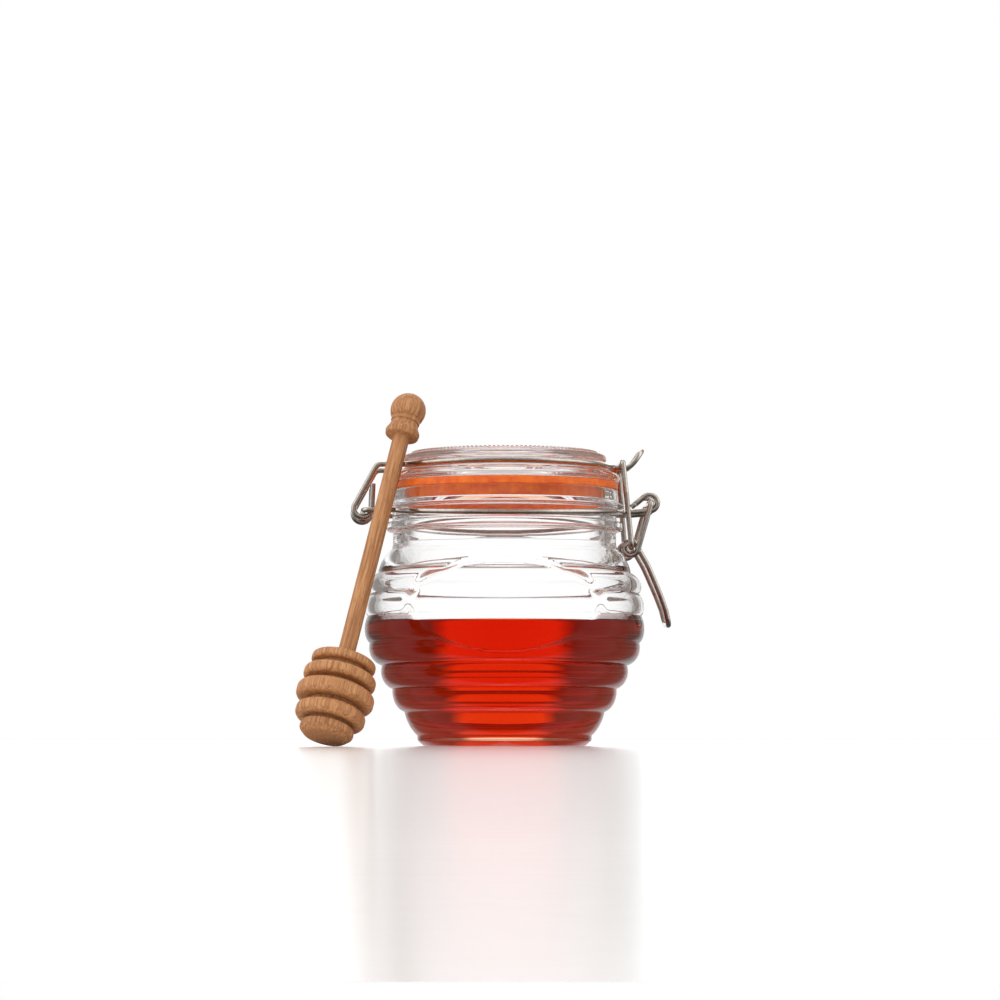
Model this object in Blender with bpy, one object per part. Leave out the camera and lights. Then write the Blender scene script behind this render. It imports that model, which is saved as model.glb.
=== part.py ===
"""Honey jar with dipper.

A ribbed glass jar shut by a glass lid on a rubber ring, held down by four bent wires: a neck wire with
a hinge bar and two hooks, a lid wire with a tongue, a bail link over the tongue and a latch lever. Honey
fills the jar to a little under half its height. A turned beech dipper stands on the floor and leans
on the lid wire beside the hinge.

Sizes are in millimetres, and MM turns them to metres. +Z is up, the jar stands on Z = 0 round the Z
axis, the hinge is at -X, the latch at +X, and the jar's front faces -Y.
"""
import math

import bmesh
import bpy
from mathutils import Matrix, Vector

MM = 0.001
GAP = 0.3                     # clearance kept between pieces that touch

# Jar, outside
ROUND_STEPS = 36
FOOT_EDGE = ((28.4, 0.0), (30.3, 1.4), (31.2, 3.0))
RIB_TOPS = (                  # top valley radius, top valley height, swell radius, swell share low down
    (36.0, 12.2, 35.6, 0.41),
    (40.4, 20.5, 40.6, 0.74),
    (44.2, 28.9, 45.2, 0.70),
    (48.6, 37.0, 49.4, 0.74),
    (49.4, 46.7, 51.2, 0.74),
    (48.5, 54.8, 51.0, 0.74),
    (45.6, 62.3, 50.3, 0.74),
    (40.7, 70.8, 44.4, 0.00),
)
RIB_LOW_HANDLE = 0.15         # height share of a rib's lower swell
RIB_HIGH_HANDLE = 0.63        # height share of its upper swell
RIB_STEPS = 4
NECK_RADIUS = 40.3
NECK_FOOT_HEIGHT = 72.5
BEAD = ((40.3, 76.8), (42.2, 77.6), (42.6, 79.0), (42.0, 80.2))
GROOVE_RADIUS = 40.6
GROOVE_BOTTOM = 80.5
GROOVE_TOP = 85.4
FLARE = ((43.2, 85.4), (43.3, 86.2), (41.3, 88.4))
RIM_RADIUS = 41.0
RIM_TOP = 92.1
RIM_ROUNDING = 0.5

# Jar, inside, from the floor's middle to the mouth
INNER_FLOOR = 4.8                     # a low dome, which ends at FLOOR_RADIUS
FLOOR_RADIUS = 22.0
INNER_WALL = (
    (9.0, 4.4), (16.0, 3.2), (21.0, 2.3), (25.0, 2.4), (28.0, 4.2), (30.6, 7.6), (33.6, 12.4),
    (37.3, 20.0), (41.0, 28.4), (44.6, 36.4), (46.3, 44.0), (46.3, 46.6), (47.0, 50.2), (45.8, 54.2),
    (46.1, 57.0), (44.9, 59.6), (42.7, 62.2), (40.4, 65.8), (37.4, 70.0), (36.5, 73.5),
)
MOUTH_RADIUS = 36.4

# Smooth oval pad pressed into the ribs at the front
PAD_TURN = math.radians(-3.0)         # the pad's middle, turned from -Y towards -X
PAD_HALF_WIDTH = 33.0
PAD_HALF_HEIGHT = 16.2
PAD_HEIGHT = 49.3
PAD_CROWN_RADIUS = 50.6
PAD_CROWN_HEIGHT = 45.0
PAD_FALL_UP = 0.0085                  # loss of radius per square millimetre above the crown
PAD_FALL_DOWN = 0.006
PAD_PRESS = 2.9                       # the ribs' valleys lie at most this far inside the pad

# Honey
HONEY_LEVEL = 43.7
HONEY_CLEARANCE = 0.4                 # to one side, which is GAP where the glass slopes

# Rubber ring and lid
GASKET_INNER_RADIUS = 34.95
GASKET_LIP_RADIUS = 36.05             # outside of the lip that hangs into the mouth
GASKET_LIP_BOTTOM = 87.3
GASKET_OUTER_RADIUS = 41.0
GASKET_BOTTOM = RIM_TOP + GAP
GASKET_TOP = 94.5
GASKET_ROUNDING = 0.4
LID_HOLLOW = ((0.0, 98.8), (28.0, 98.6), (30.4, 97.4), (31.5, 94.6), (32.1, 91.4))
LID_PLUG = ((32.7, 90.8), (33.9, 90.8), (34.6, 91.6), (34.6, GASKET_TOP + GAP))
LID_FLANGE = ((40.9, 94.8), (41.6, 95.4), (41.8, 96.4), (41.5, 97.4), (40.7, 98.0))
LID_GROOVE = ((38.8, 98.8), (38.4, 99.2), (36.3, 99.2), (36.2, 101.2))
LID_CROWN = ((36.8, 102.3), (36.9, 103.4), (36.1, 104.7), (34.3, 105.2))
LID_RING = ((33.6, 105.9), (32.4, 105.9), (31.4, 104.8))
LID_DISH = ((28.0, 103.7), (0.0, 103.4))

# Wires
WIRE_RADIUS = 1.0
WIRE_BEND_STEP = math.radians(30.0)   # one point at least this often round a bend
RING_STEP = math.radians(12.0)

NECK_RING_RADIUS = 42.0
NECK_RING_FRONT_HEIGHT = 81.75        # the ring sags onto the bead at front and back
NECK_STRAND_HEIGHT = 84.0             # and is pulled up under the flare at hinge and latch
HINGE_BAR_X = -51.2
HINGE_STRAND_Y = 17.0
HOOK_Y = 8.6
HOOK_CENTRE = (51.8, 87.35)
HOOK_BEND_RADIUS = 2.9
HOOK_TIP = (46.7, 86.8)
HOOK_ENTRY_ANGLE = math.radians(130.0)
HOOK_EXIT_ANGLE = math.radians(-80.0)

LID_RING_RADIUS = 37.7
LID_WIRE_HEIGHT = 100.5
LID_STRAND_Y = 14.6
HINGE_LOOP_CENTRE = (-51.35, 84.65)
HINGE_LOOP_RADIUS = 3.2
HINGE_TAIL_END = (-47.8, 93.5)
HINGE_SHOULDER = (-46.3, 100.5)
TONGUE_Y = 5.0
TONGUE_DIP = (42.1, 100.0)
TONGUE_RISE = (44.9, 100.7)
TONGUE_NECK = (47.0, 102.8)
TONGUE_TIP = (49.85, 106.9)

BAIL_TOP = (42.1, 102.35)
BAIL_TOP_Y = 10.0
BAIL_BOTTOM = (44.9, 71.0)
BAIL_BOTTOM_Y = 13.9

LEVER_PIVOT = (52.3, 87.4)
LEVER_LEG_Y = 11.1
EYE_CENTRE = (44.9, 70.8)
EYE_RADIUS = 2.5
EYE_INNER_Y = 8.7
HANDLE_ROUTE = ((51.4, 64.3), (55.7, 54.2), (57.7, 48.7))
HANDLE_END = (59.0, 43.3)
HANDLE_END_Y = 6.2
HANDLE_TWIST = (-0.2, 0.8)            # how far the rear strand's end lies off the front one's

# Dipper, along its own axis from the flat under its head
DIPPER_STEPS = 22
DIPPER_TOUCH = (-40.1, -19.2, 100.5)  # its axis beside the lid wire that it leans on
DIPPER_LEAN_RIGHT = 0.2520            # axis run to +X for each unit of height
DIPPER_LEAN_BACK = 0.375              # axis run to +Y for each unit of height
FLOOR_CLEARANCE = 0.05
SHAFT_RADIUS = 3.0
CAP_OUTLINE = ((0.0, 0.0), (6.8, 0.0), (8.6, 0.9), (9.5, 2.9), (9.0, 4.1))
CAP_GROOVE = ((7.4, 4.5), (7.4, 5.3))
DISCS = (                             # bottom, top, radius, edge rounding
    (5.7, 10.7, 12.2, 1.7),
    (12.6, 18.1, 13.6, 1.6),
    (20.1, 24.3, 12.7, 1.0),
    (26.5, 29.5, 11.3, 1.0),
)
DISC_ROOT_RADIUS = 8.4
HEAD_TOP_RADIUS = 8.0
HEAD_TOP = 30.0
COLLAR = ((3.6, 117.4), (5.6, 117.6), (6.2, 118.6), (6.1, 119.8), (5.2, 121.6), (5.0, 122.6))
BEAD_GROOVES = ((4.6, 122.9), (5.2, 123.3), (5.3, 124.4), (4.9, 124.8), (5.8, 125.2))
BALL_CENTRE = 128.3
BALL_RADIUS = 6.35
BALL_STEPS = 5


def clear_scene():
    """Remove every object of the scene."""
    for found in list(bpy.data.objects):
        bpy.data.objects.remove(found, do_unlink=True)


def material(name, colour, roughness, metallic=0.0, transmission=0.0):
    """Principled material of one colour."""
    made = bpy.data.materials.new(name)
    made.use_nodes = True
    shader = made.node_tree.nodes["Principled BSDF"]
    shader.inputs["Base Color"].default_value = (*colour, 1.0)
    shader.inputs["Roughness"].default_value = roughness
    shader.inputs["Metallic"].default_value = metallic
    shader.inputs["Transmission Weight"].default_value = transmission
    made.diffuse_color = (*colour, 1.0)
    return made


def link_mesh(name, mesh, finish):
    """Put a mesh into the scene as a smooth-shaded object."""
    mesh.materials.append(finish)
    mesh.shade_smooth()
    mesh.set_sharp_from_angle(angle=math.radians(35.0))
    made = bpy.data.objects.new(name, mesh)
    bpy.context.scene.collection.objects.link(made)
    return made


def bezier(start, handle_a, handle_b, end, steps):
    """Points along a cubic curve, without its start."""
    points = []
    for step in range(1, steps + 1):
        t = step / steps
        weights = ((1 - t) ** 3, 3 * t * (1 - t) ** 2, 3 * t * t * (1 - t), t ** 3)
        corners = (start, handle_a, handle_b, end)
        points.append(tuple(sum(w * c[axis] for w, c in zip(weights, corners)) for axis in (0, 1)))
    return points


def turned(name, outline, steps, finish, reshape=None, place=None, closed=False):
    """Solid of revolution round Z from (radius, height) points, lowest axis point first.

    An outline that ends on the axis closes itself; with closed the last point joins the first.
    reshape moves a point in the jar's frame, and place puts the finished solid where it stands.
    """
    shape = bmesh.new()
    ring = [shape.verts.new((radius * MM, 0.0, height * MM)) for radius, height in outline]
    edges = [shape.edges.new(pair) for pair in zip(ring, ring[1:])]
    if closed:
        edges.append(shape.edges.new((ring[-1], ring[0])))
    bmesh.ops.spin(
        shape,
        geom=ring + edges,
        axis=(0.0, 0.0, 1.0),
        cent=(0.0, 0.0, 0.0),
        angle=2.0 * math.pi,
        steps=steps,
        use_merge=True,
    )
    bmesh.ops.remove_doubles(shape, verts=shape.verts, dist=1e-6)
    if reshape is not None:
        for vertex in shape.verts:
            vertex.co = reshape(vertex.co)
    if place is not None:
        shape.transform(place)
    bmesh.ops.recalc_face_normals(shape, faces=shape.faces)
    mesh = bpy.data.meshes.new(name)
    shape.to_mesh(mesh)
    shape.free()
    return link_mesh(name, mesh, finish)


def outer_outline():
    """Outside of the jar from its underside to the rim's top."""
    points = [(0.0, 0.0), *FOOT_EDGE]
    low_radius, low_height = FOOT_EDGE[-1]
    for radius, height, swell, share in RIB_TOPS:
        rise = height - low_height
        handle_a = (low_radius + share * (swell - low_radius), low_height + RIB_LOW_HANDLE * rise)
        handle_b = (swell, low_height + RIB_HIGH_HANDLE * rise)
        points += bezier((low_radius, low_height), handle_a, handle_b, (radius, height), RIB_STEPS)
        low_radius, low_height = radius, height
    points.append((NECK_RADIUS, NECK_FOOT_HEIGHT))
    points += BEAD
    points += [(GROOVE_RADIUS, GROOVE_BOTTOM), (GROOVE_RADIUS, GROOVE_TOP)]
    points += FLARE
    points += [
        (RIM_RADIUS, 89.0),
        (RIM_RADIUS, RIM_TOP - RIM_ROUNDING),
        (RIM_RADIUS - RIM_ROUNDING, RIM_TOP),
    ]
    return points


def inner_outline():
    """Inside of the jar from the mouth down to the floor's middle."""
    points = [(MOUTH_RADIUS + RIM_ROUNDING, RIM_TOP), (MOUTH_RADIUS, RIM_TOP - RIM_ROUNDING)]
    points += reversed(INNER_WALL)
    points.append((0.0, INNER_FLOOR))
    return points


def pad_radius(height):
    """Radius of the smooth front pad at a height."""
    rise = height - PAD_CROWN_HEIGHT
    fall = PAD_FALL_UP if rise > 0 else PAD_FALL_DOWN
    return PAD_CROWN_RADIUS - fall * rise * rise


def press_pad(point):
    """Move a point of the ribbed outside onto the pad where it lies within the oval."""
    radius = math.hypot(point.x, point.y) / MM
    height = point.z / MM
    if radius < pad_radius(height) - PAD_PRESS or point.y > 0:
        return point
    angle = math.atan2(point.x, -point.y) - PAD_TURN
    across = radius * math.sin(angle) / PAD_HALF_WIDTH
    up = (height - PAD_HEIGHT) / PAD_HALF_HEIGHT
    if across * across + up * up > 1.0:
        return point
    scale = pad_radius(height) / radius
    return Vector((point.x * scale, point.y * scale, point.z))


def make_jar(finish):
    """Glass jar, open at the mouth."""
    return turned("jar", outer_outline() + inner_outline(), ROUND_STEPS, finish, reshape=press_pad)


def make_honey(finish):
    """Honey up to its level, just clear of the glass."""
    points = [(0.0, INNER_FLOOR + HONEY_CLEARANCE)]
    for radius, height in INNER_WALL:
        if radius < FLOOR_RADIUS:
            points.append((radius, height + HONEY_CLEARANCE))
        elif height < HONEY_LEVEL:
            points.append((radius - HONEY_CLEARANCE, height + GAP))
    top_radius = next(radius for radius, height in INNER_WALL if height > HONEY_LEVEL)
    points.append((top_radius - HONEY_CLEARANCE, HONEY_LEVEL))
    points.append((0.0, HONEY_LEVEL))
    return turned("honey", points, ROUND_STEPS, finish)


def make_gasket(finish):
    """Rubber ring between rim and lid, with a lip that hangs into the mouth round the lid's plug."""
    points = (
        (GASKET_INNER_RADIUS, GASKET_LIP_BOTTOM),
        (GASKET_LIP_RADIUS, GASKET_LIP_BOTTOM),
        (GASKET_LIP_RADIUS, GASKET_BOTTOM),
        (GASKET_OUTER_RADIUS - GASKET_ROUNDING, GASKET_BOTTOM),
        (GASKET_OUTER_RADIUS, GASKET_BOTTOM + GASKET_ROUNDING),
        (GASKET_OUTER_RADIUS, GASKET_TOP - GASKET_ROUNDING),
        (GASKET_OUTER_RADIUS - GASKET_ROUNDING, GASKET_TOP),
        (GASKET_INNER_RADIUS, GASKET_TOP),
    )
    return turned("gasket", points, ROUND_STEPS, finish, closed=True)


def make_lid(finish):
    """Glass lid: hollow underneath, with a plug rim, flange, wire groove, crown and dished top."""
    outline = LID_HOLLOW + LID_PLUG + LID_FLANGE + LID_GROOVE + LID_CROWN + LID_RING + LID_DISH
    return turned("lid", outline, ROUND_STEPS, finish)


def rounded(corners):
    """Route through corners, each (point, bend radius), with its bends as arcs."""
    route = []
    count = len(corners)
    for index, (corner, radius) in enumerate(corners):
        corner = Vector(corner)
        if radius <= 0.0 or index in (0, count - 1):
            route.append(corner)
            continue
        before = (Vector(corners[index - 1][0]) - corner).normalized()
        after = (Vector(corners[index + 1][0]) - corner).normalized()
        half = before.angle(after) / 2.0
        sweep = math.pi - 2.0 * half
        middle = corner + (before + after).normalized() * (radius / math.sin(half))
        start = corner + before * (radius / math.tan(half)) - middle
        turn_axis = before.cross(after).normalized() * -1.0
        steps = max(2, math.ceil(sweep / WIRE_BEND_STEP))
        for step in range(steps + 1):
            turn = Matrix.Rotation(-sweep * step / steps, 3, -turn_axis)
            route.append(middle + turn @ start)
    return route


def arc_xz(centre, radius, start, end, y_from, y_to):
    """Arc in the XZ plane, moving evenly from one y to another."""
    steps = max(2, math.ceil(abs(end - start) / WIRE_BEND_STEP))
    points = []
    for step in range(steps + 1):
        share = step / steps
        angle = start + (end - start) * share
        points.append(Vector((
            centre[0] + radius * math.cos(angle),
            y_from + (y_to - y_from) * share,
            centre[1] + radius * math.sin(angle),
        )))
    return points


def ring_arc(radius, start, end, height_at):
    """Arc round the Z axis with its height as a function of the angle."""
    steps = math.ceil(abs(end - start) / RING_STEP)
    points = []
    for step in range(steps + 1):
        angle = start + (end - start) * step / steps
        points.append(Vector((radius * math.cos(angle), radius * math.sin(angle), height_at(angle))))
    return points


def mirrored(points):
    """The same route at the back, run the other way."""
    return [Vector((point.x, -point.y, point.z)) for point in reversed(points)]


def wire(name, points, finish, cyclic):
    """Round wire along a route."""
    curve = bpy.data.curves.new(name, "CURVE")
    curve.dimensions = "3D"
    curve.bevel_depth = WIRE_RADIUS * MM
    curve.bevel_resolution = 2
    curve.use_fill_caps = not cyclic
    spline = curve.splines.new("POLY")
    spline.points.add(len(points) - 1)
    for spot, point in zip(spline.points, points):
        spot.co = (*(point * MM), 1.0)
    spline.use_cyclic_u = cyclic
    spline.use_smooth = True
    curve.materials.append(finish)
    made = bpy.data.objects.new(name, curve)
    bpy.context.scene.collection.objects.link(made)
    return made


def neck_ring_height(angle):
    """Height of the neck ring, low at front and back."""
    lift = NECK_STRAND_HEIGHT - NECK_RING_FRONT_HEIGHT
    return NECK_RING_FRONT_HEIGHT + lift * math.cos(angle) ** 2


def make_neck_wire(finish):
    """Open wire: hook, latch strand, half ring and hinge strand at the front, and the same behind."""
    tip = [Vector((HOOK_TIP[0], -HOOK_Y, HOOK_TIP[1]))]
    hook = arc_xz(HOOK_CENTRE, HOOK_BEND_RADIUS, HOOK_ENTRY_ANGLE, HOOK_EXIT_ANGLE, -HOOK_Y, -HOOK_Y)
    ring = ring_arc(NECK_RING_RADIUS, math.radians(-18.0), math.radians(-152.0), neck_ring_height)
    latch_strand = rounded((
        ((46.6, -HOOK_Y, NECK_STRAND_HEIGHT), 0.0),
        ((41.9, -HOOK_Y, NECK_STRAND_HEIGHT), 2.2),
        (ring[0], 0.0),
    ))
    hinge_strand = rounded((
        (ring[-1], 0.0),
        ((-39.2, -HINGE_STRAND_Y, NECK_STRAND_HEIGHT), 2.5),
        ((HINGE_BAR_X, -HINGE_STRAND_Y, NECK_STRAND_HEIGHT), 2.5),
        ((HINGE_BAR_X, 0.0, NECK_STRAND_HEIGHT), 0.0),
    ))
    front = tip + hook + latch_strand[:-1] + ring[:-1] + hinge_strand[:-1]
    return wire("neck_wire", front + mirrored(front), finish, cyclic=False)


def make_lid_wire(finish):
    """Open wire: hinge loop, half ring and tongue strand at the front, and the same behind."""
    tail = [Vector((HINGE_TAIL_END[0], -LID_STRAND_Y, HINGE_TAIL_END[1]))]
    loop = arc_xz(HINGE_LOOP_CENTRE, HINGE_LOOP_RADIUS, 0.0, math.radians(-195.0), -LID_STRAND_Y, -LID_STRAND_Y)
    ring = ring_arc(
        LID_RING_RADIUS,
        math.radians(-149.0),
        math.radians(-14.0),
        lambda angle: LID_WIRE_HEIGHT,
    )
    shoulder = rounded((
        (loop[-1], 0.0),
        ((HINGE_SHOULDER[0], -LID_STRAND_Y, HINGE_SHOULDER[1]), 2.6),
        ((-36.2, -LID_STRAND_Y, LID_WIRE_HEIGHT), 2.2),
        (ring[0], 0.0),
    ))
    tongue = rounded((
        (ring[-1], 0.0),
        ((38.6, -TONGUE_Y, LID_WIRE_HEIGHT), 2.2),
        ((TONGUE_DIP[0], -TONGUE_Y, TONGUE_DIP[1]), 0.0),
    ))
    tongue += [
        Vector((TONGUE_RISE[0], -TONGUE_Y, TONGUE_RISE[1])),
        Vector((TONGUE_NECK[0], -TONGUE_Y, TONGUE_NECK[1])),
    ]
    run = Vector((TONGUE_TIP[0] - TONGUE_NECK[0], 0.0, TONGUE_TIP[1] - TONGUE_NECK[1]))
    for share in (1.0 / 6.0, 2.0 / 6.0):
        turn = math.pi * share
        tongue.append(
            Vector((TONGUE_NECK[0], -TONGUE_Y * math.cos(turn), TONGUE_NECK[1])) + run * math.sin(turn)
        )
    front = tail + loop + shoulder[1:-1] + ring[:-1] + tongue
    tip = [Vector((TONGUE_TIP[0], 0.0, TONGUE_TIP[1]))]
    return wire("lid_wire", front + tip + mirrored(front), finish, cyclic=False)


def make_bail_link(finish):
    """Closed link from the lid wire's tongue to the lever's eyes."""
    front = rounded((
        ((BAIL_TOP[0], 0.0, BAIL_TOP[1]), 0.0),
        ((BAIL_TOP[0], -BAIL_TOP_Y, BAIL_TOP[1]), 2.2),
        ((BAIL_BOTTOM[0], -BAIL_BOTTOM_Y, BAIL_BOTTOM[1]), 2.0),
        ((BAIL_BOTTOM[0], 0.0, BAIL_BOTTOM[1]), 0.0),
    ))
    return wire("bail_link", front + mirrored(front)[1:-1], finish, cyclic=True)


def lever_side(end):
    """Front half of the lever from its top bar's middle to its handle's end."""
    leg_run = Vector((EYE_CENTRE[0] + EYE_RADIUS - LEVER_PIVOT[0], 0.0, EYE_CENTRE[1] - LEVER_PIVOT[1]))
    entry = math.asin(leg_run.x / leg_run.length)
    handle_run = Vector((HANDLE_ROUTE[0][0] - EYE_CENTRE[0] - EYE_RADIUS, 0.0, HANDLE_ROUTE[0][1] - EYE_CENTRE[1]))
    leave = math.asin(handle_run.x / handle_run.length) - 2.0 * math.pi
    eye = arc_xz(EYE_CENTRE, EYE_RADIUS, entry, leave, -LEVER_LEG_Y, -EYE_INNER_Y)
    top = rounded((
        ((LEVER_PIVOT[0], 0.0, LEVER_PIVOT[1]), 0.0),
        ((LEVER_PIVOT[0], -LEVER_LEG_Y, LEVER_PIVOT[1]), 1.2),
        (eye[0], 0.0),
    ))
    narrowing = (EYE_INNER_Y - HANDLE_END_Y) / len(HANDLE_ROUTE)
    handle = []
    for index, (x, z) in enumerate(HANDLE_ROUTE):
        share = (index + 1) / (len(HANDLE_ROUTE) + 1)
        handle.append(Vector((
            x + (end[0] - HANDLE_END[0]) * share,
            -EYE_INNER_Y + narrowing * index,
            z + (end[1] - HANDLE_END[1]) * share,
        )))
    return top[:-1] + eye + handle


def make_latch_lever(finish):
    """Closed lever: top bar through the hooks, eyes round the bail link, and a handle."""
    rear_end = (HANDLE_END[0] + HANDLE_TWIST[0], HANDLE_END[1] + HANDLE_TWIST[1])
    front = lever_side(HANDLE_END)
    rear = mirrored(lever_side(rear_end))
    end = rounded((
        (front[-1], 0.0),
        ((HANDLE_END[0], -HANDLE_END_Y, HANDLE_END[1]), 3.0),
        ((rear_end[0], HANDLE_END_Y, rear_end[1]), 3.0),
        (rear[0], 0.0),
    ))
    return wire("latch_lever", front + end[1:-1] + rear[:-1], finish, cyclic=True)


def disc_outline(bottom, top, radius, rounding):
    """One disc of the dipper's head, with a round edge."""
    return [
        (DISC_ROOT_RADIUS, bottom),
        (radius - rounding, bottom),
        (radius - 0.2 * rounding, bottom + 0.6 * rounding),
        (radius, 0.5 * (bottom + top)),
        (radius - 0.2 * rounding, top - 0.6 * rounding),
        (radius - rounding, top),
        (DISC_ROOT_RADIUS, top),
    ]


def dipper_outline():
    """Dipper from the flat under its head to the top of its ball."""
    points = [*CAP_OUTLINE, *CAP_GROOVE]
    for disc in DISCS:
        points += disc_outline(*disc)
    points.pop()
    points += [(HEAD_TOP_RADIUS, HEAD_TOP), (SHAFT_RADIUS, HEAD_TOP), (SHAFT_RADIUS, COLLAR[0][1] - 0.1)]
    points += COLLAR
    points += BEAD_GROOVES
    start = math.asin((BEAD_GROOVES[-1][1] - BALL_CENTRE) / BALL_RADIUS)
    for step in range(1, BALL_STEPS + 1):
        angle = start + (math.pi / 2.0 - start) * step / BALL_STEPS
        radius = BALL_RADIUS * math.cos(angle) if step < BALL_STEPS else 0.0
        points.append((radius, BALL_CENTRE + BALL_RADIUS * math.sin(angle)))
    return points


def dipper_place(outline):
    """Matrix that leans the dipper on the lid wire with its head just touching the floor."""
    axis = Vector((DIPPER_LEAN_RIGHT, DIPPER_LEAN_BACK, 1.0)).normalized()
    sine = math.sqrt(1.0 - axis.z * axis.z)
    lowest = min(height * axis.z - radius * sine for radius, height in outline)
    touch = Vector(DIPPER_TOUCH)
    foot = touch + axis * ((FLOOR_CLEARANCE - lowest - touch.z) / axis.z)
    turn = Vector((0.0, 0.0, 1.0)).rotation_difference(axis).to_matrix().to_4x4()
    return Matrix.Translation(foot * MM) @ turn


def make_dipper(finish):
    """Turned beech dipper: grooved head, shaft, collar and ball."""
    outline = dipper_outline()
    return turned("dipper", outline, DIPPER_STEPS, finish, place=dipper_place(outline))


def main():
    """Build every piece."""
    clear_scene()
    glass = material("clear_glass", (0.86, 0.89, 0.88), 0.05, transmission=0.9)
    honey = material("amber_honey", (0.62, 0.09, 0.01), 0.08, transmission=0.4)
    rubber = material("orange_rubber", (0.78, 0.20, 0.03), 0.55)
    steel = material("stainless_wire", (0.62, 0.59, 0.56), 0.22, metallic=1.0)
    beech = material("turned_beech", (0.60, 0.34, 0.16), 0.60)
    make_jar(glass)
    make_honey(honey)
    make_gasket(rubber)
    make_lid(glass)
    make_neck_wire(steel)
    make_lid_wire(steel)
    make_bail_link(steel)
    make_latch_lever(steel)
    make_dipper(beech)


main()
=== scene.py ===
"""Looks of the clip-top honey jar with its dipper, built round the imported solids.

Each sub-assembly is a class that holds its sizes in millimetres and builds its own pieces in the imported
model's frame: +Z up from the surface that the jar stands on, the hinge at -X, the latch at +X and the
jar's front at -Y. Every finish is a class of its own.
"""

import logging
import math
from collections.abc import Callable, Sequence
from dataclasses import dataclass, field
from enum import Enum
from typing import Any

import bmesh
import bpy
import numpy
from mathutils import Matrix, Vector


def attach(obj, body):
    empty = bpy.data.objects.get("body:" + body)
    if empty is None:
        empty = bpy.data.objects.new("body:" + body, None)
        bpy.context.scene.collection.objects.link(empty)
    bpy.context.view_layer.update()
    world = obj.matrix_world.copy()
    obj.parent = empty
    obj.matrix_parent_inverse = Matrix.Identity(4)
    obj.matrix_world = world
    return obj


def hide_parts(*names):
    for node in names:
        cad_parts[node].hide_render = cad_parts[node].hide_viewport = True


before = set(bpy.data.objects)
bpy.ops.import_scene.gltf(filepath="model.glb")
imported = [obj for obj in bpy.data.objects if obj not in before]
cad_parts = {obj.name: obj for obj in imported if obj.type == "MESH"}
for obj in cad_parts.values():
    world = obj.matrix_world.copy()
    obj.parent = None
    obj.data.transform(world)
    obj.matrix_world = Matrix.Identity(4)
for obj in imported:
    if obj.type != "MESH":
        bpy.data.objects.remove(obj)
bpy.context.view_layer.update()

LOG = logging.getLogger("honey_jar")
MM = 0.001
OPEN_TOP = "open_top"

Outline = list[tuple[float, float]]
Route = list[Vector]
Colour = tuple[float, float, float, float]


class Slot(Enum):
    """Material slots of the record."""

    GLASS = "clear_glass"
    HONEY = "honey"
    RUBBER = "orange_rubber"
    STEEL = "stainless_wire"
    BEECH = "beech"


def linear(code: str) -> Colour:
    """Turn an sRGB hex colour to linear.

    Args:
        code: Six hex digits.

    Returns:
        Linear red, green, blue and an alpha of 1.
    """
    channels = [int(code[start:start + 2], 16) / 255.0 for start in (0, 2, 4)]
    turned = [c / 12.92 if c <= 0.04045 else ((c + 0.055) / 1.055) ** 2.4 for c in channels]
    return (turned[0], turned[1], turned[2], 1.0)


def add_node(
    tree: bpy.types.NodeTree,
    kind: str,
    settings: dict[str, Any] | None = None,
    values: dict[str | int, Any] | None = None,
    links: dict[str | int, bpy.types.NodeSocket] | None = None,
) -> bpy.types.Node:
    """Add a node with its settings, socket values and incoming links.

    Args:
        tree: Node tree that gets the node.
        kind: Blender's name of the node type.
        settings: Properties of the node.
        values: Constant values by input socket.
        links: Source sockets by input socket.

    Returns:
        The new node.
    """
    node = tree.nodes.new(kind)
    for key, value in (settings or {}).items():
        setattr(node, key, value)
    for key, value in (values or {}).items():
        node.inputs[key].default_value = value
    for key, source in (links or {}).items():
        tree.links.new(source, node.inputs[key])
    return node


def set_ramp(node: bpy.types.Node, stops: Sequence[tuple[float, Colour]]) -> None:
    """Give a colour ramp its stops.

    Args:
        node: Color Ramp node.
        stops: Position and colour of each stop, in order.
    """
    ramp = node.color_ramp
    while len(ramp.elements) < len(stops):
        ramp.elements.new(1.0)
    for element, (position, colour) in zip(ramp.elements, stops):
        element.position = position
        element.color = colour


@dataclass(frozen=True)
class Finish:
    """A finish: one Principled material that its class dresses with nodes."""

    name: str

    def material(self) -> bpy.types.Material:
        """Return the material, made on its first use."""
        made = bpy.data.materials.get(self.name)
        if made is None:
            made = bpy.data.materials.new(self.name)
            made.use_nodes = True
            self.dress(made.node_tree, made.node_tree.nodes["Principled BSDF"])
        return made

    def dress(self, tree: bpy.types.NodeTree, shader: bpy.types.Node) -> None:
        """Add the finish's nodes.

        Args:
            tree: The material's node tree.
            shader: Its Principled shader.
        """
        raise NotImplementedError

    @staticmethod
    def coordinates(tree: bpy.types.NodeTree) -> bpy.types.NodeSocket:
        """Return the Object coordinates of the piece."""
        return add_node(tree, "ShaderNodeTexCoord").outputs["Object"]

    @staticmethod
    def raise_skin(
        tree: bpy.types.NodeTree,
        shader: bpy.types.Node,
        height: bpy.types.NodeSocket,
        height_mm: float,
        strength: float = 1.0,
    ) -> None:
        """Let a pattern raise the skin.

        Args:
            tree: The material's node tree.
            shader: Its Principled shader.
            height: The pattern.
            height_mm: Height that the full pattern stands for.
            strength: Share of it that shows.
        """
        bump = add_node(
            tree, "ShaderNodeBump",
            values={"Strength": strength, "Distance": height_mm * MM},
            links={"Height": height},
        )
        tree.links.new(bump.outputs["Normal"], shader.inputs["Normal"])


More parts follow.
